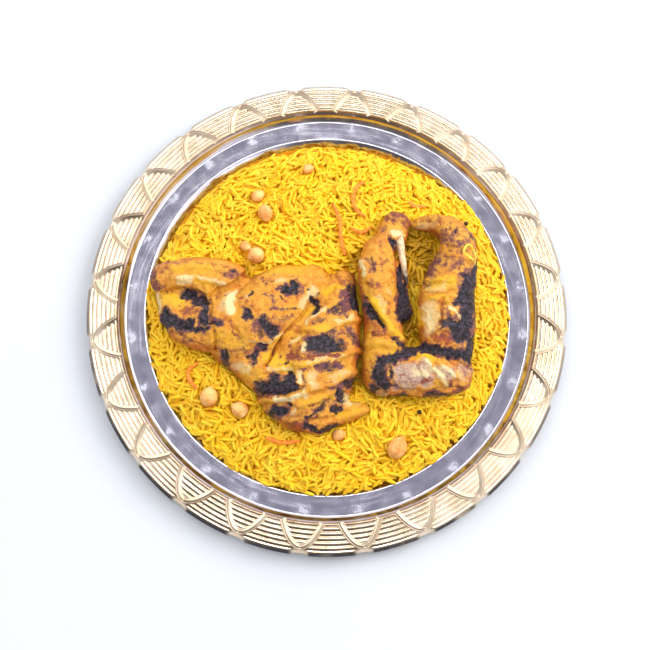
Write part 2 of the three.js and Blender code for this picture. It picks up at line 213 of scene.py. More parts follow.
def rounded(corners, radius, steps=4):
    """A profile with its inner corners rounded by short curves."""
    corners = np.array(corners, float)
    rows = [corners[0]]
    for before, corner, after in zip(corners, corners[1:], corners[2:]):
        into, out = before - corner, after - corner
        reach = min(radius, 0.45 * np.hypot(*into), 0.45 * np.hypot(*out))
        start = corner + into / np.hypot(*into) * reach
        end = corner + out / np.hypot(*out) * reach
        for t in np.linspace(0, 1, steps + 1):
            rows.append((1 - t) ** 2 * start + 2 * t * (1 - t) * corner + t * t * end)
    rows.append(corners[-1])
    return np.array(rows)


def turned(name, profile, columns, shift=None, closed=False):
    """Spins a profile of radius and height rows round the middle of the tray."""
    angles = np.arange(columns) * 2 * math.pi / columns
    radius, level = (np.repeat(part[:, None], columns, axis=1) for part in np.array(profile).T)
    if shift:
        radius, level = shift(radius, level, angles)
    points = np.stack([radius * np.cos(angles), radius * np.sin(angles), level], axis=-1)
    rows = np.arange(len(profile) if closed else len(profile) - 1)[:, None]
    across = np.arange(columns)
    at = lambda row, column: (row % len(profile)) * columns + column % columns
    corners = [at(rows, across), at(rows, across + 1), at(rows + 1, across + 1), at(rows + 1, across)]
    piece = build(name, points.reshape(-1, 3), np.stack(corners, axis=-1).reshape(-1, 4))
    shell = bmesh.new()
    shell.from_mesh(piece.data)
    bmesh.ops.remove_doubles(shell, verts=shell.verts, dist=1e-7)
    bmesh.ops.recalc_face_normals(shell, faces=shell.faces)
    shell.to_mesh(piece.data)
    shell.free()
    return piece


def place_of(piece):
    """The points of a piece, in millimetres."""
    points = np.empty(3 * len(piece.data.vertices), dtype=np.float32)
    piece.data.vertices.foreach_get("co", points)
    return points.reshape(-1, 3).astype(float) * 1000


def paint(piece, layer, values):
    """Stores one value for each point of a piece, for its material."""
    stored = piece.data.attributes.new(layer, "FLOAT", "POINT")
    stored.data.foreach_set("value", values.astype(np.float32))


def painted(tree, layer):
    return add_node(tree, "ShaderNodeAttribute", attribute_name=layer).outputs["Fac"]


def worked_out(tree, operation, *values):
    """The result of arithmetic on numbers and on the outputs of other nodes."""
    return add_node(tree, "ShaderNodeMath", dict(enumerate(values)), operation=operation).outputs["Value"]


lattice = np.random.default_rng(3).random((32, 32, 32))


def cloud(points, size, octaves=1, seed=0):
    """Soft noise between -1 and 1 at points in millimetres, with lumps of about that size."""
    total, weight, most = 0, 1, 0
    for octave in range(octaves):
        scaled = points / size * 2 ** octave + 7.3 * octave + 3.7 * seed
        cell = np.floor(scaled).astype(int)
        part = scaled - cell
        part = part * part * (3 - 2 * part)
        value = 0
        for corner in product((0, 1), repeat=3):
            share = np.prod(np.where(corner, part, 1 - part), axis=1)
            value = value + share * lattice[tuple(((cell + corner) % 32).T)]
        total, most, weight = total + weight * (2 * value - 1), most + weight, weight / 2
    return total / most


def ramp(low, high, value):
    """0 below low, 1 above high, smooth between them."""
    share = np.clip((value - low) / (high - low), 0, 1)
    return share * share * (3 - 2 * share)


def from_arch(angles):
    """How far each angle is from the middle of the nearest arch, in degrees."""
    turns = (angles - first_arch) / (2 * math.pi / arch_count)
    return np.degrees(np.abs(turns - np.round(turns)) * 2 * math.pi / arch_count)


# The pressed sheet's corners, by radius and height, from its middle over the wall and back beneath.
ring_height, bend = 7.0, 1.2
ring_rows, well_columns = 18, 600
floor_and_bend = rounded([[0, 1], [125.2, 1], [129.0, 3.9], [132.9, ring_height], [134.2, ring_height]], bend)
across_ring = np.stack([np.linspace(134.8, 146.0, ring_rows), np.full(ring_rows, ring_height)], axis=1)
wall_and_back = rounded([[146.2, ring_height], [147.1, ring_height], [148.1, 7.5], [150.6, 10.3],
                         [151.5, 12.4], [151.8, 15.6], [152.5, 15.2], [151.9, 9.6], [147.8, 6],
                         [133.5, 6], [129, 0], [0, 0]], bend)
well = turned("steel_well", np.concatenate([floor_and_bend, across_ring, wall_and_back]), well_columns)

# The patches under the arches are painted reflection; the streaks along the ring are wear.
arch_reflection_radius, arch_reflection_strength, streak_strength = 143.4, 0.5, 0.26
points = place_of(well)
radius = np.hypot(points[:, 0], points[:, 1])
aside = from_arch(np.arctan2(points[:, 1], points[:, 0]))
patchy = ramp(-0.45, 0.25, cloud(points, 3.0, 3))
on_ring = ramp(5.0, 1.0, np.abs(radius - arch_reflection_radius))
under_arch = arch_reflection_strength * ramp(2.6, 0.4, aside) * on_ring * patchy
stretched = points * np.array([1, 1, 0]) / radius[:, None] * 60 + np.stack([radius] * 3, axis=1) * 3
streaks = streak_strength * ramp(-0.1, 0.7, cloud(stretched, 7, 4, seed=2))
paint(well, "arch_reflection_and_streaks", np.maximum(under_arch, streaks) * (points[:, 2] > ring_height - 0.5))
paint(well, "plated", ramp(10.2, 11.4, points[:, 2]))

steel, tree, shader, place = surface("polished_steel", Metallic=1.0)
worn = speckle(tree, place, 90, detail=5)
clean = blended(tree, worn, srgb(196, 194, 210), srgb(214, 212, 226))
# Under the painted reflection of the arches and along the streaks, the steel is paler, duller and less
# metallic.
steel_tone = blended(tree, painted(tree, "arch_reflection_and_streaks"), clean, srgb(232, 236, 252))
tray_tone = blended(tree, painted(tree, "plated"), steel_tone, srgb(232, 208, 178))
tree.links.new(tray_tone, shader.inputs["Base Color"])
dull = worked_out(tree, "MULTIPLY_ADD", painted(tree, "arch_reflection_and_streaks"), 0.45, 0.10)
tree.links.new(worked_out(tree, "MULTIPLY_ADD", worn, 0.06, dull), shader.inputs["Roughness"])
bare = worked_out(tree, "MULTIPLY_ADD", painted(tree, "arch_reflection_and_streaks"), -0.6, 1.0)
tree.links.new(bare, shader.inputs["Metallic"])
bumped(tree, shader, speckle(tree, place, 60), 0.00004)
well.data.materials.append(steel)
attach(well, "root")
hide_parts("platter")

# ---- Tray: gold rim ----
# The same sheet, plated the colour of pale gold from the top of the wall outwards: a small bead, five
# rounded reeds and 24 arched ribs stamped all the way round, and a skirt that bulges out between the
# arches, whose foot carries a painted reflection of the dark front of the room.

rim_inner, rim_inner_height = 152.0, 16.6
rim_outer, rim_outer_height = 170.6, 14.2
reed_pitch, reed_height = 3.3, 0.8
reed_count, rows_per_reed, first_reed, reed_sunk = 5, 8, 153.9, 0.5
notch_depth, notch_drop = 1.5, 0.7
rim_columns = 576


def rim_level(radius):
    share = (radius - rim_inner) / (rim_outer - rim_inner)
    return rim_inner_height + (rim_outer_height - rim_inner_height) * share


reed_rows = np.linspace(first_reed, first_reed + reed_count * reed_pitch, reed_count * rows_per_reed + 1)
across_reed = ((reed_rows - first_reed) / reed_pitch) % 1 * 2 - 1
reed_tops = rim_level(reed_rows) - reed_sunk + reed_height * (1 - across_reed ** 2)
reeds = np.stack([reed_rows, reed_tops], axis=1)
bead = rounded([[151.6, 15.5], [151.7, 16.7], [152.5, 17.3], [153.2, 16.9], [153.7, 15.9]], 0.6)
outer_face = rounded([[170.7, 13.8], [171.9, 13.9], [172.6, 13.2], [174.5, 11.0], [174.9, 8.6], [174.4, 7.3],
                      [173.8, 8.0], [170.6, 12.0], [153.4, 14.8], [152.3, 15.2]], 0.8)


def bulge(radius, level, angles):
    """Pulls the skirt in behind the tip of every arch."""
    notch = ramp(2.0, 1.3, from_arch(angles)) * ramp(170.8, 172.6, radius)
    return radius - notch_depth * notch, level - notch_drop * notch * (level > 10)


rim = turned("gold_rim", np.concatenate([bead, reeds, outer_face]), rim_columns, shift=bulge, closed=True)
points = place_of(rim)
radius = np.hypot(points[:, 0], points[:, 1])
# The foot of the skirt between the arches gets a painted dark reflection, strongest on the side towards the
# front.
shaded_side = 0.25 + 0.75 * ramp(-0.5, 0.75, (-0.2 * points[:, 0] - 0.98 * points[:, 1]) / radius)
between = ramp(1.5, 2.2, from_arch(np.arctan2(points[:, 1], points[:, 0])))
patchy = ramp(-1.2, 0, cloud(points, 12, 3, seed=6))
paint(rim, "skirt_dark_reflection", ramp(171.7, 172.5, radius) * shaded_side * between * patchy)

arch_tip, arch_foot, arch_bend, arch_sunk = 169.0, 151.8, 1.9, 0.1
arch_half_angle = math.radians(5.35)
rib_section = np.array([[3.3, -0.6], [2.7, 0.1], [1.8, 0.55], [1.0, 0.95], [0.5, 1.35], [0.1, 1.45],
                        [-0.35, 1.1], [-0.7, 0.35], [-1.05, 0.95], [-1.45, 1.05], [-1.85, 0.6], [-2.3, -0.6]])
along = np.linspace(-1, 1, 41)
line_radius = arch_tip - (arch_tip - arch_foot) * np.abs(along) ** arch_bend
ribs = []
for number in range(arch_count):
    angle = first_arch + number * 2 * math.pi / arch_count + along * arch_half_angle
    line = np.stack([line_radius * np.cos(angle), line_radius * np.sin(angle)], axis=1)
    ahead = np.gradient(line, axis=0)
    inward = np.stack([-ahead[:, 1], ahead[:, 0]], axis=1) / np.hypot(*ahead.T)[:, None]
    rib = line[:, None] + inward[:, None] * rib_section[:, 0, None]
    level = rim_level(np.hypot(rib[..., 0], rib[..., 1])) - arch_sunk + rib_section[:, 1]
    ribs.append(np.concatenate([rib, level[..., None]], axis=-1))
ribs = np.array(ribs)
index = np.arange(ribs[..., 0].size).reshape(ribs.shape[:3])
quads = np.stack([index[:, :-1, :-1], index[:, 1:, :-1], index[:, 1:, 1:], index[:, :-1, 1:]], axis=-1)
arches = build("rim_arches", ribs.reshape(-1, 3), quads.reshape(-1, 4))

gold, tree, shader, place = surface("pale_gold_plate", Metallic=1.0, Roughness=0.08)
worn = speckle(tree, place, 70, detail=5)
bright = blended(tree, worn, srgb(222, 198, 168), srgb(242, 224, 200))
# Dark grey painted onto the skirt's foot: a painted reflection of the dark front of the room.
plated = blended(tree, painted(tree, "skirt_dark_reflection"), bright, srgb(62, 59, 62))
tree.links.new(plated, shader.inputs["Base Color"])
bumped(tree, shader, speckle(tree, place, 180), 0.00003)
for piece in (rim, arches):
    piece.data.materials.append(gold)
    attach(piece, "root")
    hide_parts("platter")

# ---- Chicken ----
# Two pieces of a grilled chicken: half a breast with its folded wing, and a leg quarter bent into a
# horseshoe. The skin is stained orange by the marinade and blistered black where it met the grill.


def flesh(name, node, voxel=1.4, rounds=16):
    """A fine, rounded skin over a CAD solid."""
    source = bpy.data.objects.new(name + "_core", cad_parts[node].data.copy())
    scene.collection.objects.link(source)
    remesh = source.modifiers.new("remesh", "REMESH")
    remesh.voxel_size = voxel / 1000
    smooth = source.modifiers.new("smooth", "SMOOTH")
    smooth.factor = 0.5
    smooth.iterations = rounds
    finer = source.modifiers.new("finer", "SUBSURF")
    finer.levels = 1
    ready = source.evaluated_get(bpy.context.evaluated_depsgraph_get())
    mesh = bpy.data.meshes.new_from_object(ready)
    bpy.data.objects.remove(source)
    mesh.name = name
    mesh.materials.clear()
    mesh.polygons.foreach_set("use_smooth", np.ones(len(mesh.polygons), dtype=bool))
    piece = bpy.data.objects.new(name, mesh)
    scene.collection.objects.link(piece)
    return piece


def outward(piece):
    """The outward direction at each point of a piece."""
    normals = np.empty(3 * len(piece.data.vertices), dtype=np.float32)
    piece.data.vertex_normals.foreach_get("vector", normals)
    return normals.reshape(-1, 3).astype(float)


def near_stroke(points, stroke):
    """How far each point is, seen from above, from a line through a few places."""
    stroke = np.reshape(np.array(stroke, float), (-1, 2))
    if len(stroke) == 1:
        return np.hypot(*(points[:, :2] - stroke[0]).T)
    nearest = np.full(len(points), np.inf)
    for start, end in zip(stroke, stroke[1:]):
        span = end - start
        share = np.clip((points[:, :2] - start) @ span / (span @ span), 0, 1)
        nearest = np.minimum(nearest, np.hypot(*(points[:, :2] - start - share[:, None] * span).T))
    return nearest


def wandered(points, reach, size, seed):
    """The points moved a little at random, so that what is painted by them gets a ragged edge."""
    return points + reach * np.stack([cloud(points, size, 3, seed + k) for k in range(3)], axis=1)


def brushed(points, strokes, hard, soft):
    """The strength of the strongest brush stroke at each point."""
    layer = np.zeros(len(points))
    for half_width, strength, *stroke in strokes:
        layer = np.maximum(layer, strength * ramp(soft, hard, near_stroke(points, stroke) / half_width))
    return layer


# Each stroke is its half width, its strength, and the x and y of each place it runs through.
breast_char = [
    (6.6, 1, -11, -31, 0, -32), (4.2, 0.8, 2, -34, 5, -33), (2.6, 0.6, 6, -29, 11, -31),
    (2.6, 0.6, 0, -23, 4, -21), (3.2, 0.75, 14, 11, 18, 8), (3.4, 0.9, 18, 4, 19, -4),
    (3, 0.6, 3, -9, 8, -5), (2.4, 0.55, 12, -1, 11, -8), (1.6, 0.6, -4, -16, -1, -15),
    (2.4, 1, -12, 1, -9, -2, -9, -8), (3.2, 1, -31, 6.5, -29, 7), (3.2, 0.85, -26, 12, -24, 6),
    (2.8, 0.85, -58, -8, -57, -12), (3.4, 0.85, -46, -14, -44, -18), (3, 0.85, -41, -20, -38, -22),
    (2.4, 0.7, -49, -22), (2.8, 0.95, -48, -30, -45, -31), (2.4, 0.75, -50, -36, -52, -44),
    (1.8, 0.8, -57, -39, -54, -40), (2.8, 0.8, -74, -34, -71, -41), (4.6, 1, -46, -61, -26, -59),
    (3.4, 1, -38, -55, -36, -57), (3.4, 1, -27, -55, -25, -58), (1.6, 0.8, -50, -57, -44, -57),
    (1.6, 0.8, -24, -63, -20, -62), (4.4, 1, -37, -76, -32, -77), (2.6, 0.7, -47, -74, -43, -83),
    (1.4, 0.8, -29, -71, -27, -72), (1.8, 0.8, -16, -81, -8, -79, -3, -73), (2.4, 0.95, 3, -76, 5, -74),
    (2.8, 0.8, 3, -61, 7, -68), (2.6, 0.75, 11, -58, 15, -54), (1.6, 1, -17, -85, -6, -87.5, 6, -84.5),
    (2.4, 0.55, -5, -46, 3, -46, -2, -50), (1, 0.9, -33, 0), (0.8, 0.7, -28, -5, -24, -5),
    (0.8, 0.9, -34, -37), (1, 0.8, -31, -43, -28, -42), (1, 0.8, -57, 4, -54, 5), (0.8, 0.8, -15, 6),
    # The three strokes next are painted shade along the breast's right edge, in the gap beside the leg.
    (1.4, 0.7, 18, 27, 20, 19), (2, 0.6, 17, -24, 19, -28), (1.6, 0.6, 17, -45, 19, -40),
    (3.6, 0.95, -102, 6, -96, 3, -89, -1), (3, 0.9, -88, -1, -86, -5), (4, 1, -87, -9, -86, -13),
    (3.6, 1, -113, -8, -115, -15), (3.4, 1, -109, -12, -101, -17), (3, 1, -97, -13, -96, -18),
    (2.8, 0.95, -92, -20, -86, -20), (1.6, 0.8, -82, -17, -79, -17), (2.8, 1, -76, -17),
    (2.2, 0.55, -68, 22, -66, 20), (1, 0.6, -64, 16, -67, 15), (1, 0.6, -78, -23),
]
breast_brown = [
    (6, 0.6, -20, -36, -24, -38), (1.6, 0.95, -28, -38, -22, -41, -12, -41, 4, -38.5),
    (1.6, 0.7, -26, -27, -27, -33), (2.4, 0.55, -19, -29, -17, -26), (4, 0.5, -46, 14, -42, 12),
    (2, 0.5, -29, 18, -22, 18), (2.2, 0.6, 2, 26, 3, 21), (3, 0.6, 9, 15, 7, 22), (3, 0.55, 14, 20, 17, 28),
    (1.8, 0.6, -54, 22, -51, 15), (1.6, 0.8, -50, -66, -36, -65), (2, 0.8, -52, -62, -50, -75, -44, -86),
    (3, 0.6, -20, -78, -28, -84), (1.6, 0.8, -26, -84, -16, -84), (1.4, 0.7, -2, -67, 0, -68),
    (2, 0.6, -12, -72, -2, -70), (5, 0.8, -128, 26, -125, 17, -121, 11), (2.6, 0.75, -119, 13, -116, 8),
    (3.4, 0.6, -121, 24, -113, 22), (2, 0.5, -113, 29, -90, 29, -74, 26), (1.6, 0.5, -106, 9, -92, 11),
    (3, 0.6, -86, 4, -82, 0), (5, 0.5, -100, -6, -92, -8), (4, 0.35, -98, -27, -88, -29),
    (1.6, 0.6, -112, -20, -98, -20), (1.3, 0.75, -68, -15, -64, -22, -61, -27), (3, 0.6, -76, 5, -72, 4),
    (2, 0.5, -72, -31, -68, -31), (1.2, 0.6, -65, 0, -60, 3),
]
# Cream patches of skin and fat, and painted highlights along the ridges of the skin.
breast_pale = [
    (2.6, 1, -66.5, 8, -69, 1, -70, -8), (5, 0.55, -73, -4, -70, 2), (2.6, 0.8, -10, 9, -14, 4, -19, -2),
    (2, 0.9, -2, -7, -9, -11, -15, -16), (2.2, 1, -21, -52, -19, -57), (1.6, 0.7, -17, -63, -16, -65),
    (2, 0.95, -37, -67, -28, -67, -19, -65), (4, 0.55, -58, -48, -64, -44), (4.6, 0.75, 10, -68, 20, -66),
    (2, 0.8, -26, -29, -21, -26), (1.8, 0.95, -17, -31, -17, -36), (2.4, 0.6, -40, -48, -26, -49),
    (4, 0.7, -11, -53, -10, -58), (3, 0.5, 2, -54, 10, -50), (1.8, 0.9, -107, 17, -97, 16),
    (1.6, 0.7, -106, 14, -98, 14), (1.8, 0.7, -92, 17, -80, 15, -74, 13), (3.2, 0.6, -36, 14, -32, 14),
    (1.2, 0.8, -54, -28, -42, -27, -33, -24), (1.6, 0.6, -58, 3), (1.4, 0.7, 6, -16, 18, -12),
    (1.2, 0.6, -16, -44, -4, -42, 8, -38), (1.6, 0.6, -24, -77, -23, -73), (1.4, 0.8, -122, 8, -117, -5),
]
breast_yellow = [
    (6, 0.9, -116, 3, -106, 2), (4, 0.7, -108, 24, -85, 25), (6, 0.9, -40, -40, -28, -46),
    (8, 0.5, -20, 26, -40, 26), (3, 0.9, 6, 10, -2, 7), (2.4, 0.8, -18, -22, 0, -21),
    (7, 0.5, -75, -26, -62, -30), (4, 0.6, -15, -70, -2, -68), (3, 0.5, -38, -30, -28, -22),
    (2, 0.8, -16, -8, -12, -3), (2, 0.7, -20, -46, -8, -43), (4, 0.6, -84, 12, -98, 19),
    (5, 0.5, -58, -50, -48, -52), (3, 0.6, 6, -78, 20, -75),
]
# Skin scorched to a purplish brown, beyond the black.
breast_mauve = [
    (7, 1, 12, -5, 18, 4), (4, 0.9, 9, 4, 15, 10), (3.4, 0.8, 2, -9, 12, -10), (3, 0.6, -8, -16, -2, -15),
    (5, 0.8, 15, -22, 20, -29), (3, 0.8, 0, -22, 8, -24), (3.4, 0.75, 21, -36, 17, -47),
    (4.4, 0.9, -6, -47, 5, -45), (2, 0.7, -19, -48, -16, -57), (1.6, 0.7, -13, -60, -8, -60),
    (4.4, 0.9, 1, -61, 15, -55), (5.6, 0.9, -49, -16, -39, -22), (3, 0.6, -37, -14, -25, -12),
    (1.2, 0.8, -41, -6, -28, -6, -22, -4), (2.2, 0.7, -45, 3, -40, 1, -39, -4), (5, 0.75, -29, 8, -21, 8),
    (3.4, 0.5, -49, 14, -43, 12), (3.8, 1, -58, -8, -57, -12), (4.4, 0.9, -49, -34, -53, -44),
    (2, 0.7, -45, -35, -43, -34), (4, 0.9, -75, -34, -70, -42), (3.4, 0.7, -48, -74, -42, -84),
    (2.4, 0.8, -17, -82, -3, -73), (2.4, 0.7, -2, -73, 5, -71), (5, 0.7, -72, 21, -66, 20),
    (4, 0.5, -98, -5, -94, -4), (3, 0.6, 12, 14, 20, 16), (4.4, 0.9, -88, -12, -76, -17),
    (5, 0.6, -127, 24, -122, 12), (3.2, 0.6, -24, -60, -17, -62), (3, 0.6, 14, 26, 18, 22),
]
breast_red = [
    (3, 0.9, -50, -76, -46, -84, -35, -89, -25, -88, -18, -85), (2, 0.6, -26, -40, -18, -42),
    (3, 0.6, -100, -5, -94, -6), (3, 0.5, -20, -22, -8, -24), (3, 0.4, -118, 12, -114, 6),
    (3, 0.4, -48, 16, -40, 12), (3, 0.4, -54, 24, -52, 16),
]
# Raised folds of skin, and the creases and grill marks between them.
breast_folds = [
    (2.4, 1.3, -18, -21, 0, -20, 10, -15, 23, -11), (2.4, 1.4, -24, -45, -10, -43, 4, -39, 22, -33),
    (2, 1, -15, -15, -4, -8, 3, 0, 7, 9), (2.2, 1.2, -50, -67, -36, -68, -18, -64, 2, -58, 16, -48),
    (1.6, 0.7, -52, -28, -38, -26, -30, -23), (2, 0.9, -22, -73, -6, -69, 4, -62),
    (2.6, 0.8, -110, 18, -92, 17, -76, 14), (2.4, 0.6, -112, 25, -88, 26, -72, 22),
    (3, 0.9, -70, 8, -72, -2, -70, -10),
]
breast_creases = [
    (1.1, 1.9, -8, 6, -20, -11, -28, -20), (1.2, 2.6, -28, -20, -37, -31, -43, -45),
    (0.9, 0.8, -67, -18, -61, -27), (1.8, 2.2, -118, 8, -106, 10, -96, 8, -87, 4, -83, -1),
    (2, 2.2, -57, 23, -66, 13, -76, 9, -84, 4), (1.2, 1.6, -81, -3, -82, -14, -80, -22, -79, -33),
    (1.6, 1.2, -26, -50, -46, -52), (1.4, 1.2, -50, -65.5, -30, -65, -18, -61),
    (1.4, 1, -17, -41, 4, -38.5, 10, -34), (1.4, 1, -16, -24, 0, -22.5, 10, -18),
    (1.4, 1.2, -48, -71, -30, -71.5, -22, -75), (1.4, 1.2, -14, -83, 4, -81, 14, -75),
    (1.2, 0.9, -110, -20, -96, -28, -82, -33), (1.2, 1, 5, 30, 6, 16, 10, 12),
    (1, 0.8, -12, 3, -6, -2, -1, -4), (2.2, 1.4, -12, 0, -9, -7),
]

leg_char = [
    # The first stroke is painted shade in the hollow under the knuckle.
    (2.2, 1, 43.5, 45, 45.5, 41), (2.2, 1, 50.5, 27, 51.5, 18), (3.6, 1, 51.5, 14, 52, 8),
    (6.6, 1, 53.5, 2, 54.5, -8), (2.3, 0.85, 26, -2, 31, -10, 37, -17), (4.4, 1, 34, -48, 38, -57),
    (3.4, 1, 36, -43, 44, -41, 52, -36, 60, -33), (3.2, 1, 60, -31, 66, -30),
    (3.4, 1, 66, -31, 74, -34, 86, -36, 98, -40, 103, -41), (2.4, 0.8, 46, -29, 52, -30),
    (2.5, 0.9, 26, -61, 31, -60), (1.5, 0.7, 42, -46, 44, -52), (5, 1, 107, 30, 104, 22),
    (5.6, 1, 101, 18, 97, 8), (6.5, 1, 101, 6, 98, -4), (3.2, 1, 93, 4, 89, -1), (6.5, 1, 97, -12, 93, -20),
    (4.6, 1, 86, -18, 90, -24), (3.4, 0.85, 82, -14, 80, -17), (4.6, 0.95, 100, -26, 98, -34),
    (1.7, 0.8, 91, 52), (2.2, 0.65, 101, 49, 106, 44), (2.4, 0.7, 104, 36), (2.6, 1, 68, 25, 69, 20),
    (1.2, 0.8, 44, -64, 62, -65, 90, -63), (1.4, 0.6, 76, -55, 82, -57),
]
leg_mauve = [
    (3.6, 0.8, 25, 1, 30, -9, 38, -18), (5, 0.6, 42, 66, 54, 66), (3, 0.5, 40, 56, 41, 50),
    (2.4, 0.5, 56, 60, 57, 52), (9, 0.7, 84, 48, 92, 42), (8, 0.62, 82, 28, 90, 26),
    # The stroke from (77, 34) to (69, 13) is painted shade on the inner wall of the arm, which faces in and
    # down.
    (6, 0.62, 100, 56, 106, 48), (4.6, 0.9, 77, 34, 73, 22, 69, 13), (6, 0.6, 82, -8, 88, -12),
    (2.6, 0.8, 29.5, 29, 31, 20), (5, 0.4, 44, 62, 54, 58), (3, 0.6, 36, 22), (3, 0.6, 42, -52, 46, -58),
    (4, 0.5, 28, -58, 38, -62), (4, 0.6, 92, -30, 100, -20),
]
leg_brown = [
    # The strokes down x = 22 to 24, here and in the next line, are painted shade in the gap beside the
    # breast.
    (7, 0.75, 44, 65, 54, 63), (3, 0.6, 22, 34, 22, 10), (3, 0.55, 66, 60, 80, 60),
    (3, 0.5, 23, -20, 24, -50), (10, 0.5, 42, 64, 55, 62), (4, 0.5, 70, 66, 90, 63),
    (7, 0.5, 80, -8, 86, -12), (6, 0.66, 74, -24, 82, -26), (2.6, 0.5, 29.5, 29, 31, 20),
    (2.2, 0.5, 36, 22), (2.4, 0.7, 30, 11, 33, 9), (3, 0.6, 52, 57, 56, 60), (2.5, 0.75, 30, -21, 38, -24),
    (2.5, 0.7, 45, -28, 49, -29), (3, 0.5, 28, -42, 30, -52),
    (2.2, 0.7, 42, -64, 60, -65, 80, -63, 96, -60), (2.5, 0.7, 64, -55, 68, -54),
    (2.5, 0.7, 78, -54, 84, -57), (4, 0.45, 52, -54, 58, -56), (3, 0.5, 88, -44, 96, -46),
    (2, 0.5, 38, -2, 40, -9),
]
# Cream cartilage, fat and cut flesh, and painted highlights on the drumstick and the arm.
leg_pale = [
    (1.8, 1, 24, 28, 26, 18), (2.8, 1, 46, 50, 50, 50), (4.5, 0.8, 71, -3, 70, -18),
    (2.5, 0.6, 75, -8, 74, -16), (3, 0.5, 70, 10, 78, 9), (1, 0.9, 84, -4, 88, -7, 90, -11),
    (2.2, 0.5, 38, 8, 41, 4), (2, 0.5, 33, 1, 37, -6), (2, 0.9, 67, -42, 72, -48, 79, -57),
    (2.4, 0.8, 78, -46, 86, -52), (3, 0.7, 58, -48, 66, -50), (2, 0.6, 90, -48, 95, -53),
    (2.4, 0.6, 33, -62, 40, -63), (2.4, 0.5, 64, 60, 76, 58),
]
leg_yellow = [
    (3, 0.9, 28, 2, 36, -10, 42, -19, 48, -26), (4, 1, 63, -38, 69, -39), (5, 0.8, 70, 13, 86, 13),
    (3.5, 0.8, 64, -4, 64, -14), (3, 0.6, 72, 3, 80, 2), (5, 0.5, 26, -24, 28, -44),
    (4, 0.5, 24, 20, 28, 8), (5, 0.5, 30, -30, 42, -34),
]
leg_red = [
    (3, 0.8, 74, -26, 84, -26), (1.4, 0.6, 78, 0, 78, -14), (3, 0.6, 28, -14, 32, -19),
    (3, 0.5, 62, -56, 68, -56), (5, 0.5, 40, 66, 50, 66), (3, 0.5, 24, -4, 25, -14),
    (4, 0.4, 94, -52, 100, -50),
]
leg_cut = [
    (7, 1, 52, -50, 60, -50), (5, 0.9, 66, -46, 66, -54), (5, 0.7, 76, -50, 84, -50),
    (3, 0.6, 46, -58, 58, -59), (3, 0.5, 92, -46, 98, -48),
]
leg_folds = [
    (2.4, 1.1, 30, 0, 38, -12, 44, -22, 50, -27), (2.2, 0.9, 24, 30, 26, 20, 28, 14),
    (1.8, 0.9, 67, -42, 72, -48, 79, -57), (1.6, 0.8, 76, -43, 86, -52), (2, 1.1, 62, -38, 70, -39),
    (2.4, 0.8, 60, 64, 78, 62, 94, 57), (2, 0.7, 78, 34, 92, 32, 100, 30),
    (2.4, 0.8, 26, -30, 36, -30, 46, -32), (1.6, 0.7, 70, 16, 84, 14), (1.4, 0.6, 72, 2, 82, 0),
]
leg_creases = [
    (1.4, 1.6, 25, 2, 31, -8, 38, -18), (1.2, 1.2, 79, 2, 78, -12, 70, -24),
    (1.4, 1.3, 44, -45, 54, -41, 66, -36, 80, -39, 98, -44), (1.2, 0.8, 24, -22, 34, -24, 44, -26),
    (1, 0.8, 72, -43, 80, -53), (1, 0.7, 60, -46, 64, -56), (1.8, 1.8, 43, 46, 45, 41, 48, 34),
    (1.2, 1, 84, 40, 94, 36, 102, 38), (1, 0.8, 28, 30, 31, 20), (1.4, 1.2, 42, -60, 64, -62, 92, -60),
    (1, 0.8, 68, 6, 80, 5, 86, 8),
]

skin_layers = {
    "breast": (breast_char, breast_brown, breast_pale, breast_yellow, breast_red, [], breast_mauve,
               breast_folds, breast_creases),
    "leg": (leg_char, leg_brown, leg_pale, leg_yellow, leg_red, leg_cut, leg_mauve, leg_folds, leg_creases),
}
layer_names = ("char", "brown", "pale", "yellow", "red", "cut", "mauve", "side_shade")

skin, tree, shader, place = surface("grilled_skin", Subsurface_Weight=0.08, Subsurface_Scale=0.0015,
                                    Specular_IOR_Level=0.2, Coat_Weight=0.8, Coat_Roughness=0.16)
shader.inputs["Subsurface Radius"].default_value = (1.0, 0.4, 0.15)
fine = speckle(tree, place, 950, detail=4, roughness=0.7, low=0.32, high=0.68)
mid = speckle(tree, place, 300, detail=5, roughness=0.7, low=0.32, high=0.68)
broad = speckle(tree, place, 75, detail=4, roughness=0.6)
# The char's colour runs from black to a light bluish mauve: partly its grain, partly a painted sheen of
# glints.
coal_grain_and_sheen = speckle(tree, place, 420, detail=4, roughness=0.6, low=0.42, high=0.70)


def broken(tree, layer, noise, sharp, spread):
    """A painted layer whose edge is broken up by noise."""
    value = worked_out(tree, "MULTIPLY_ADD", noise, -spread, layer)
    return add_node(tree, "ShaderNodeMapRange", {"Value": value, "From Max": sharp}).outputs["Result"]


colour = blended(tree, broad, srgb(226, 124, 16), srgb(255, 178, 38))
colour = blended(tree, worked_out(tree, "MULTIPLY", mid, 0.6), colour, srgb(255, 204, 84))
colour = blended(tree, worked_out(tree, "MULTIPLY", fine, 0.3), colour, srgb(170, 66, 18))
# Painted shade on the sides of the skin that turn away from the light.
colour = blended(tree, painted(tree, "side_shade"), colour, srgb(200, 92, 14))
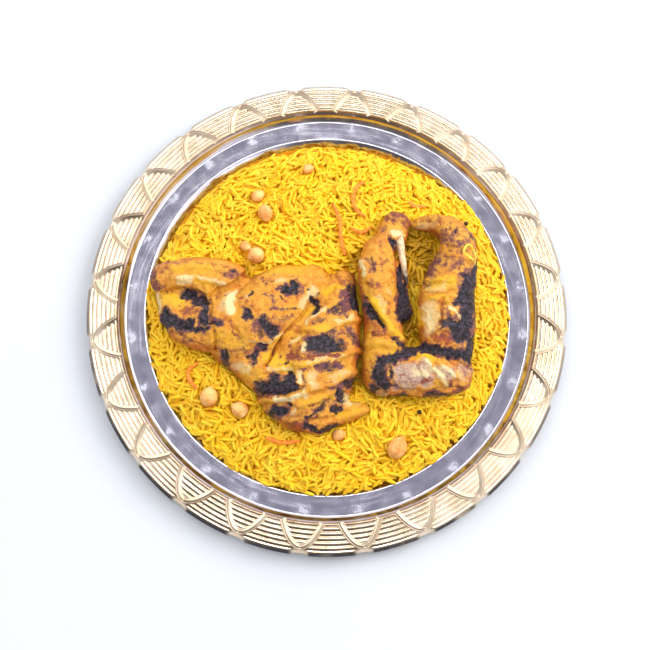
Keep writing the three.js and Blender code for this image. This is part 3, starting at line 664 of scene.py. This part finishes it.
# Each painted layer, how soft its edge is, how far noise eats into it, and its tone, in their order.
coats = [
    ("yellow", 0.6, 0.35, srgb(252, 190, 34)),
    ("red", 0.7, 0.4, srgb(176, 60, 24)),
    ("cut", 0.5, 0.3, blended(tree, fine, srgb(160, 108, 92), srgb(236, 206, 180))),
    # Pale is partly the skin's own cream and partly painted highlight.
    ("pale", 0.8, 0.45, srgb(255, 236, 178)),
    ("brown", 0.45, 0.75, blended(tree, fine, srgb(120, 44, 22), srgb(176, 92, 60))),
    ("mauve", 0.5, 0.75, blended(tree, fine, srgb(74, 32, 40), srgb(150, 88, 96))),
    ("char", 0.5, 0.6, blended(tree, coal_grain_and_sheen, srgb(20, 15, 21), srgb(104, 87, 110))),
]
for layer, softness, eaten, tone in coats:
    colour = blended(tree, broken(tree, painted(tree, layer), mid, softness, eaten), colour, tone)
tree.links.new(colour, shader.inputs["Base Color"])
rough = add_node(tree, "ShaderNodeMapRange", {"Value": fine, "To Min": 0.3, "To Max": 0.5})
tree.links.new(rough.outputs["Result"], shader.inputs["Roughness"])
grainy = worked_out(tree, "MULTIPLY_ADD", painted(tree, "char"), 1.2, 0.5)
pitted = worked_out(tree, "MULTIPLY", fine, grainy)
bumped(tree, shader, worked_out(tree, "MULTIPLY_ADD", mid, 0.8, pitted), 0.0010)
# The film of fat over the skin is smoother than the skin.
wet = add_node(tree, "ShaderNodeBump", {"Height": mid, "Distance": 0.0006})
tree.links.new(wet.outputs["Normal"], shader.inputs["Coat Normal"])

fold_height, crease_depth, char_depth, skin_rise, meat_top = 5.0, 4.2, 0.9, 0.5, 45.4
for node, layers in skin_layers.items():
    piece = flesh("chicken_" + node, node)
    points = place_of(piece)
    normals = outward(piece)
    ragged = wandered(wandered(points, 3.6, 9, 20), 2.2, 2.6, 30)
    char = brushed(ragged, layers[0], 0.6, 1.35)
    brown, pale, yellow, red, cut, mauve = (brushed(ragged, layer, 0.3, 1.6) for layer in layers[1:7])
    halo = 0.85 * brushed(ragged, layers[0], 1.0, 1.8)
    char = char * ramp(0.22, 0.62, char * 1.15 + 0.6 * cloud(points, 4.2, 4, seed=9) - 0.1)
    winding = wandered(points, 1.5, 8, 40)
    folds, creases = (brushed(winding, [(width, depth / 3, *line) for width, depth, *line in layer], 0.1, 1.5)
                      for layer in layers[7:])
    blisters = (0.2 + 0.6 * char + 0.3 * cut) * cloud(points, 2.0, 2, seed=5)
    wrinkles = 1 - 2.4 * np.abs(cloud(wandered(points, 2, 9, 50), 5.0, 2, seed=4))
    lumps = 1.0 * cloud(points, 15, 2, seed=1) + 0.5 * wrinkles
    raised = fold_height * folds - crease_depth * creases - char_depth * char + blisters + lumps + skin_rise
    facing_up = ramp(-0.2, 0.5, normals[:, 2])
    moved = points + normals * (raised * (0.25 + 0.75 * facing_up))[:, None]
    moved[:, 2] = np.minimum(moved[:, 2], meat_top)
    piece.data.vertices.foreach_set("co", (moved / 1000).astype(np.float32).ravel())
    piece.data.update()
    # Besides the strokes, all of the skin is mottled, and painted shade darkens its creases and its sides.
    side_shade = 0.8 * ramp(0.9, 0.35, normals[:, 2]) * ramp(-0.6, 0.3, cloud(points, 9, 3, seed=13))
    mottle = 0.62 * ramp(0.05, 0.5, cloud(points, 7, 3, seed=7))
    mottle *= ramp(-0.35, 0.3, cloud(points, 26, 2, seed=8))
    # Painted shade in the creases, carried in the brown layer along with the real browning.
    crease_shade = 0.8 * ramp(0.45, 0.9, creases)
    on_fold = 1 - 0.75 * ramp(0.12, 0.35, folds)
    flecks = 0.22 + 0.26 * cloud(points, 11, 3, seed=14)
    brown = np.maximum.reduce([brown, mottle * on_fold, crease_shade, flecks]) * (1 - 0.6 * pale)
    blotch = 0.7 * ramp(0.1, 0.5, cloud(points, 6, 3, seed=11))
    blotch *= ramp(-0.1, 0.4, cloud(points, 22, 2, seed=12))
    mauve = np.maximum.reduce([mauve, halo, blotch]) * (1 - 0.6 * pale) * (1 - 0.5 * yellow) * on_fold
    for layer, values in zip(layer_names, (char * on_fold, brown, pale, yellow, red, cut, mauve, side_shade)):
        paint(piece, layer, values)
    piece.data.materials.append(skin)
    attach(piece, "root")
    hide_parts(node)

# ---- Leg bone ----
# The end of the drumstick's bone, cleaned by the heat where the meat has drawn back from it: cream
# above, scorched towards the thigh.

bone_line = np.array([[50, 51, 30, 3.3], [51, 45, 31, 3.1], [52, 38, 31.0, 2.6], [53, 31, 30.8, 2.3],
                      [54, 24, 30.0, 1.9], [54.9, 18, 29.4, 1.5], [55.6, 14.6, 29, 1.0]])


def tube(line, sides=16, wobble=0.0, flatten=1.0, seed=0):
    """Points and faces of a closed tube through rows of x, y, z and radius."""
    line = np.array(line, float)
    ahead = np.gradient(line[:, :3], axis=0)
    ahead /= np.linalg.norm(ahead, axis=1)[:, None]
    side = np.cross(ahead, (0, 0, 1))
    side /= np.linalg.norm(side, axis=1)[:, None]
    over = np.cross(side, ahead)
    turn = np.arange(sides) * 2 * math.pi / sides
    ring = np.cos(turn)[:, None] * side[:, None] + flatten * np.sin(turn)[:, None] * over[:, None]
    skin_points = line[:, None, :3] + ring * line[:, 3, None, None]
    flat = skin_points.reshape(-1, 3)
    if wobble:
        flat = flat + ring.reshape(-1, 3) * (wobble * cloud(flat, 3, 2, seed))[:, None]
    ends = np.stack([line[0, :3] - ahead[0] * line[0, 3] * 0.5,
                     line[-1, :3] + ahead[-1] * line[-1, 3] * 0.5])
    index = np.arange(len(line) * sides).reshape(len(line), sides)
    wrapped = np.roll(index, -1, axis=1)
    quads = np.stack([index[:-1], wrapped[:-1], wrapped[1:], index[1:]], axis=-1).reshape(-1, 4)[:, ::-1]
    first, last = len(flat), len(flat) + 1
    caps = np.concatenate([np.stack([np.full(sides, first), index[0], wrapped[0]], -1)[:, ::-1],
                           np.stack([np.full(sides, last), wrapped[-1], index[-1]], -1)[:, ::-1]])
    return np.concatenate([flat, ends]), quads, caps


def along_curve(rows, count):
    """Rows of numbers spread evenly along a smooth curve through the given ones."""
    rows = np.array(rows, float)
    padded = np.concatenate([2 * rows[:1] - rows[1:2], rows, 2 * rows[-1:] - rows[-2:-1]])
    at = np.linspace(0, len(rows) - 1, count)
    k = np.minimum(at.astype(int), len(rows) - 2)
    t = (at - k)[:, None]
    a, b, c, d = padded[k], padded[k + 1], padded[k + 2], padded[k + 3]
    return 0.5 * (2 * b + (c - a) * t + (2 * a - 5 * b + 4 * c - d) * t ** 2
                  + (3 * b - a - 3 * c + d) * t ** 3)


bone = build("leg_bone_end", *tube(along_curve(bone_line, 40), wobble=0.25))
points = place_of(bone)
paint(bone, "scorch", ramp(34, 16, points[:, 1] + 4 * cloud(points, 4, 2)) * 0.8)
ivory, tree, shader, place = surface("bone", Roughness=0.42, Subsurface_Weight=0.1, Subsurface_Scale=0.001)
stained = speckle(tree, place, 350, detail=4)
clean = blended(tree, stained, srgb(206, 168, 120), srgb(240, 220, 186))
scorched = broken(tree, painted(tree, "scorch"), stained, 0.5, 0.3)
tree.links.new(blended(tree, scorched, clean, srgb(74, 52, 48)), shader.inputs["Base Color"])
bumped(tree, shader, stained, 0.0003)
bone.data.materials.append(ivory)
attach(bone, "root")
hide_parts("leg_bone")

# ---- Rice ----
# A flat mound of long-grain rice stained yellow. Cooked grains about 13 mm long lie in loose swirls,
# layer on layer, so that dark little gaps show between them.

rice_radius, rice_crown, rice_brim, rice_shoulder = 131.4, 20.6, 8.6, 68


def pulled_in(x, y):
    """How far the edge of the rice stops short of the wall: most at the back, where steel shows."""
    return 6.0 * ramp(0.35, 0.75, (-0.26 * x + 0.97 * y) / np.maximum(np.hypot(x, y), 1))


def rice_level(x, y):
    """Height of the mound under its top grains."""
    fall = np.clip((np.hypot(x, y) - rice_shoulder) / (rice_radius - rice_shoulder), 0, 1.2)
    swell = 0.7 * np.sin(x / 17 + 1) * np.sin(y / 14 + 2) + 0.4 * np.sin((x + y) / 9)
    sunk = 0.6 * pulled_in(x, y) * ramp(112, 127, np.hypot(x, y))
    return rice_brim + (rice_crown - rice_brim) * (1 - fall * fall) + swell - sunk


# The space under the meat is measured from below, so that grains run in under its edges.
cell, grid_size = 1.0, 274
ticks = (np.arange(grid_size) - grid_size / 2) * cell
roof = np.full((grid_size, grid_size), 99.0)
meat_points, meat_faces = [], []
for node in ("breast", "leg", "leg_bone"):
    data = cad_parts[node].data
    shift = len(meat_points)
    meat_points.extend(1000 * vertex.co for vertex in data.vertices)
    meat_faces.extend([shift + k for k in polygon.vertices] for polygon in data.polygons)
meat = BVHTree.FromPolygons(meat_points, meat_faces)
for i, x in enumerate(ticks):
    for j, y in enumerate(ticks):
        hit = meat.ray_cast(Vector((x, y, 0)), Vector((0, 0, 1)))[0]
        if hit:
            roof[i, j] = hit.z

core_depth, under_meat, rice_ends = 3.4, 3.0, 132.0
grid_x, grid_y = np.meshgrid(ticks, ticks, indexing="ij")
pile = np.minimum(rice_level(grid_x, grid_y) - core_depth, roof - under_meat)
far_out = np.hypot(grid_x, grid_y)
pile = pile - 0.3 * pulled_in(grid_x, grid_y) * ramp(119, 126, far_out)
pile[far_out > rice_ends] = ring_height
start_pile = pile.copy()


def cells(x, y):
    """The rows and the columns of the grid that are nearest to places in millimetres."""
    return [np.round(value / cell + grid_size / 2).astype(int) for value in (x, y)]


# The core of the heap: its top on the pile, then its edge and underside on the steel.
core_rings, core_columns = 64, 200
core_edge = np.array([[128.0, 4.8], [127.5, 3.0], [126.0, 1.4], [0, 1.4]])
radii = np.concatenate([np.linspace(0, 127.6, core_rings), core_edge[:, 0]])
profile = np.stack([radii, np.zeros_like(radii)], axis=1)


def heaped(radius, level, angles):
    """Lays the top of the core on the pile and its underside on the steel."""
    i, j = cells(radius * np.cos(angles), radius * np.sin(angles))
    level = start_pile[np.clip(i, 0, grid_size - 1), np.clip(j, 0, grid_size - 1)] + 0.3
    level[core_rings:] = core_edge[:, 1, None]
    return radius, level


core = turned("rice_core", profile, core_columns, shift=heaped)

# One grain, as rings along it: where each lies between its two points, and how thick it is there.
ring_at = np.array([-0.93, -0.62, 0.0, 0.62, 0.93])
ring_size = np.array([0.56, 0.93, 1.0, 0.91, 0.52])
grain_rings, grain_sides = len(ring_at), 6
points_each = grain_rings * grain_sides + 2
half_thickness = 0.42
ring_turn = np.arange(grain_sides) * 2 * math.pi / grain_sides
index = np.arange(grain_rings * grain_sides).reshape(grain_rings, grain_sides)
wrapped = np.roll(index, -1, axis=1)
grain_quads = np.stack([index[:-1], index[1:], wrapped[1:], wrapped[:-1]], axis=-1).reshape(-1, 4)
tail, head = points_each - 2, points_each - 1
grain_caps = np.concatenate([np.stack([np.full(grain_sides, tail), index[0], wrapped[0]], -1),
                             np.stack([np.full(grain_sides, head), wrapped[-1], index[-1]], -1)])


def grains(places, yaw, pitch, length, width, bend):
    """The points of many grains: long, pointed at both ends, a little curved and flattened."""
    count = len(places)
    ahead = np.stack([np.cos(yaw) * np.cos(pitch), np.sin(yaw) * np.cos(pitch), np.sin(pitch)], axis=-1)
    side = np.stack([-np.sin(yaw), np.cos(yaw), np.zeros(count)], axis=-1)
    over = np.cross(ahead, side)
    at = np.concatenate([np.repeat(ring_at, grain_sides), [-1.0, 1.0]])
    size = np.concatenate([np.repeat(ring_size, grain_sides), [0.0, 0.0]])
    turn = np.concatenate([np.tile(ring_turn, grain_rings), [0.0, 0.0]])
    run = at[None] * length[:, None] / 2
    sideways = bend[:, None] * (1 - at[None] ** 2) + np.cos(turn) * size * width[:, None] / 2
    rise = np.sin(turn) * size * width[:, None] * half_thickness
    return (places[:, None] + run[..., None] * ahead[:, None] + sideways[..., None] * side[:, None]
            + rise[..., None] * over[:, None]).reshape(-1, 3)


def many(name, places, yaw, pitch, length, width, bend, tint, juice_and_shade):
    """One joined piece made of many grains."""
    shift = (np.arange(len(places)) * points_each)[:, None, None]
    piece = build(name, grains(places, yaw, pitch, length, width, bend),
                  (grain_quads[None] + shift).reshape(-1, 4), (grain_caps[None] + shift).reshape(-1, 3))
    paint(piece, "tint", np.repeat(tint, points_each))
    paint(piece, "juice_and_shade", np.repeat(juice_and_shade, points_each))
    return piece


# Where each chickpea lies, its length and width, and the way its beak points, in degrees.
chickpea_list = [
    (-52, 83, 10, 8.5, 40), (-46, 69, 13, 10.5, 100), (-52, 37, 12, 11.5, 200), (-15, 105, 8, 7, 20),
    (-84, -65, 14, 12.5, 80), (-62, -74, 12, 11, 150), (7, -91, 9, 8, 10), (48, -100, 17, 13, 60),
    (-60, 44, 9, 7, 330),
]

# Grains fall one by one at random places and lie along broad swirls, propped on what is already
# there. One that would stick out of the mound, into the meat or through a chickpea isn't laid.
random = np.random.default_rng(11)
wanted = 6400
tries = 30000
middle_reach, tip_reach = 131.5, 133.4
usual_length, length_spread, usual_width, width_spread = 12.2, 2.0, 2.7, 0.22
steps = np.linspace(-0.5, 0.5, 7)
laid = []
for attempt in range(tries):
    if len(laid) >= wanted:
        break
    reach = middle_reach * math.sqrt(random.random())
    around = random.random() * 2 * math.pi
    x, y = reach * math.cos(around), reach * math.sin(around)
    length = random.normal(usual_length, length_spread)
    width = random.normal(usual_width, width_spread)
    swirl = 2.2 * math.sin(x / 31 + 0.7) + 2.0 * math.cos(y / 27 - 1.1) + 0.9 * math.sin((x - y) / 15)
    yaw = swirl + random.normal(0, 0.8)
    line_x = x + steps * length * math.cos(yaw)
    line_y = y + steps * length * math.sin(yaw)
    if np.hypot(line_x, line_y).max() > tip_reach - pulled_in(x, y):
        continue
    i, j = cells(line_x, line_y)
    under = pile[i, j]
    slope = (under[4:].max() - under[:3].max()) / (0.6 * length)
    slope = min(max(slope + random.normal(0, 0.07), -0.5), 0.5)
    level = (under - slope * steps * length).max() + 0.25 * width
    crown = rice_level(x, y) + 1.3 + 0.5 * random.random()
    top = level + slope * steps * length + half_thickness * width
    if level > crown or (top > roof[i, j] - 0.2).any():
        continue
    if any(np.hypot(line_x - pea_x, line_y - pea_y).min() < 0.40 * pea_width + 0.6
           for pea_x, pea_y, _, pea_width, _ in chickpea_list):
        continue
    laid.append((x, y, level, yaw, math.atan(slope), length, width, random.normal(0, 0.9)))
    pile[i, j] = np.maximum(under, top - 0.5 * width)
laid = np.array(laid)
tint = np.clip(random.normal(0.5, 0.22, len(laid)), 0, 1)

# Where painted shade darkens the rice, together with some meat juices, and how far: in the hollow of
# the leg, under its shank, and between the two pieces.
juice_and_shade_places = [(62, 44, 17), (70, 38, 12), (57, -16, 10), (22, -52, 7), (23, 34, 9), (-62, 24, 8),
                (60, 20, 8)]
juice_and_shade = np.zeros(len(laid))
for x, y, reach in juice_and_shade_places:
    juice_and_shade = np.maximum(juice_and_shade, ramp(1.25, 0.5, np.hypot(laid[:, 0] - x, laid[:, 1] - y) / reach))

rice_skin, tree, shader, place = surface("yellow_rice", Roughness=0.45, Subsurface_Weight=0.35,
                                         Subsurface_Scale=0.0018)
shader.inputs["Subsurface Radius"].default_value = (1.0, 0.75, 0.25)
streaks = speckle(tree, place, 420, detail=3)
stain = speckle(tree, place, 45, detail=3)
colour = blended(tree, painted(tree, "tint"), srgb(240, 172, 2), srgb(255, 220, 60))
colour = blended(tree, stain, colour, blended(tree, streaks, srgb(246, 188, 6), srgb(255, 208, 34)))
# Rice in the hollows and gaps by the meat is darkened: painted shade, partly stained by meat juices.
colour = blended(tree, painted(tree, "juice_and_shade"), colour, srgb(186, 140, 8))
tree.links.new(colour, shader.inputs["Base Color"])
bumped(tree, shader, streaks, 0.0002)

per_piece = 1900
for number, start in enumerate(range(0, len(laid), per_piece), 1):
    group = laid[start:start + per_piece]
    piece = many(f"rice_grains_{number}", group[:, :3], *group[:, 3:].T, tint[start:start + per_piece],
                 juice_and_shade[start:start + per_piece])
    piece.data.materials.append(rice_skin)
    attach(piece, "root")
    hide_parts("rice_bed")


def mottled(tree, shader, noise, first, second):
    """Colours a surface between two screen colours, by noise."""
    tree.links.new(blended(tree, noise, srgb(*first), srgb(*second)), shader.inputs["Base Color"])


heap, tree, shader, place = surface("rice_below", Roughness=0.6)
mottled(tree, shader, speckle(tree, place, 400), (232, 150, 4), (252, 186, 14))
bumped(tree, shader, speckle(tree, place, 300), 0.001)
core.data.materials.append(heap)
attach(core, "root")
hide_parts("rice_bed")

# ---- Chickpeas ----
# Boiled chickpeas with their skins on, pressed lightly into the rice: round, with a small beak at
# one end and a shallow seam.

pea_skin, tree, shader, place = surface("chickpea_skin", Roughness=0.26, Subsurface_Weight=0.35,
                                        Subsurface_Scale=0.002)
shader.inputs["Subsurface Radius"].default_value = (1.0, 0.6, 0.3)
mottled(tree, shader, speckle(tree, place, 140, detail=3), (222, 150, 76), (248, 200, 128))
bumped(tree, shader, speckle(tree, place, 500), 0.0002)


def unit_ball():
    """Points and faces of a ball of radius 1."""
    ball = bmesh.new()
    bmesh.ops.create_icosphere(ball, subdivisions=4, radius=1)
    ball.verts.index_update()
    points = np.array([corner.co[:] for corner in ball.verts])
    faces = np.array([[corner.index for corner in face.verts] for face in ball.faces])
    ball.free()
    return points, faces


beak_size, seam_depth = 0.22, 0.05
for number, (x, y, length, width, beak) in enumerate(chickpea_list, 1):
    unit, faces = unit_ball()
    shape = 1 + 0.05 * cloud(unit * 10 + number * 5, 8, 2)
    seam = np.exp(-(unit[:, 1] / 0.16) ** 2) * ramp(-0.5, 0.6, unit[:, 2]) * ramp(1.0, 0.2, unit[:, 0])
    to_tip = (unit[:, 0] - 1) ** 2 + unit[:, 1] ** 2 + unit[:, 2] ** 2
    shape += beak_size * np.exp(-to_tip / 0.10) - seam_depth * seam
    formed = unit * shape[:, None] * np.array([length / 2 * 0.95, width / 2, width / 2.2])
    turn = math.radians(beak)
    spun = np.stack([formed[:, 0] * math.cos(turn) - formed[:, 1] * math.sin(turn),
                     formed[:, 0] * math.sin(turn) + formed[:, 1] * math.cos(turn), formed[:, 2]], axis=1)
    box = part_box(f"chickpea_{number}")
    middle = 500 * (Vector(box[0]) + Vector(box[1]))
    piece = build(f"pea_{number}", spun + np.array(middle), faces)
    piece.data.materials.append(pea_skin)
    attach(piece, "root")
    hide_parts(f"chickpea_{number}")

# ---- Carrot ----
# Thin shreds of carrot, softened in the rice and stained by it. They lie half buried among the
# grains.

shred_width, shred_thickness, shred_rise = 3.0, 1.3, 3.58
carrot_list = [
    [(27, 95), (20, 89), (18, 80), (21, 71), (27, 67)], [(3, 77), (8, 64), (9, 50), (12, 38)],
    [(16, 58), (24, 55), (31, 59)], [(-92, -40), (-99, -46), (-98, -53), (-92, -59)],
    [(58, 80), (64, 76), (72, 77)], [(-44, -93), (-33, -96.5), (-20, -95.5)],
]
carrot_flesh, tree, shader, place = surface("stewed_carrot", Roughness=0.4, Subsurface_Weight=0.3,
                                            Subsurface_Scale=0.0015)
threads = speckle(tree, place, 500, detail=4)
mottled(tree, shader, threads, (240, 116, 26), (254, 158, 56))
bumped(tree, shader, threads, 0.0003)


def ribbon(line, width, thickness, level, frayed=0.25, seed=0):
    """Points and faces of a flat shred along a line of places, narrower at its ends."""
    path = along_curve([(x, y, level(x, y)) for x, y in line], 30)
    share = np.linspace(-1, 1, len(path))
    half = width / 2 * (1 - 0.55 * np.abs(share) ** 3)
    rows = np.concatenate([path, half[:, None]], axis=1)
    return tube(rows, sides=12, wobble=frayed, flatten=thickness / width, seed=seed)


over_rice = lambda x, y: rice_level(x, y) + shred_rise
for number, line in enumerate(carrot_list, 1):
    shape = ribbon(line, shred_width, shred_thickness, over_rice, seed=number)
    piece = build(f"carrot_shred_{number}", *shape)
    piece.data.materials.append(carrot_flesh)
    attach(piece, "root")
    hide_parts(f"carrot_{number}")

# ---- Onion ----
# One limp curl of fried onion, lying in a loose ring on the skin of the leg.

onion_lift, onion_top = 0.9, 44.85
skin_tree = BVHTree.FromObject(bpy.data.objects["chicken_leg"], bpy.context.evaluated_depsgraph_get())


def over_skin(x, y):
    hit = skin_tree.ray_cast(Vector((x / 1000, y / 1000, 0.1)), Vector((0, 0, -1)))[0]
    return min(1000 * hit.z + onion_lift, onion_top)


onion_ring = [(103, 28.5), (103.2, 33), (101.8, 38), (98.6, 40.6), (95.6, 38.6), (94.2, 35), (96.8, 31.8),
              (100, 29.6), (103, 27.4)]
onion = build("onion_curl", *ribbon(onion_ring, 2.0, 1.1, over_skin, frayed=0.2))
onion_flesh, tree, shader, place = surface("fried_onion", Roughness=0.3, Subsurface_Weight=0.4,
                                           Subsurface_Scale=0.0015)
mottled(tree, shader, speckle(tree, place, 300), (244, 172, 30), (255, 214, 80))
onion.data.materials.append(onion_flesh)
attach(onion, "root")
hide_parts("onion_strand")

# ---- Peppercorns ----
# Two whole black peppercorns from the broth, dried and wrinkled. They lie loose on the rice.

pepper_skin, tree, shader, place = surface("black_pepper", Roughness=0.55)
mottled(tree, shader, speckle(tree, place, 900), (24, 18, 16), (84, 62, 50))
bumped(tree, shader, speckle(tree, place, 1100), 0.0004)
pepper_width, pepper_rise = 3.4, 2.4
for number, (x, y) in enumerate([(64, -75), (102, 65)], 1):
    unit, faces = unit_ball()
    hollows = 1 - 0.16 * np.abs(cloud(unit * 10 + 40 * number, 4, 2))
    middle = (x, y, rice_level(x, y) + pepper_rise)
    piece = build(f"peppercorn_{number}", unit * hollows[:, None] * pepper_width / 2 + middle, faces)
    piece.data.materials.append(pepper_skin)
    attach(piece, "root")
    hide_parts("rice_bed")
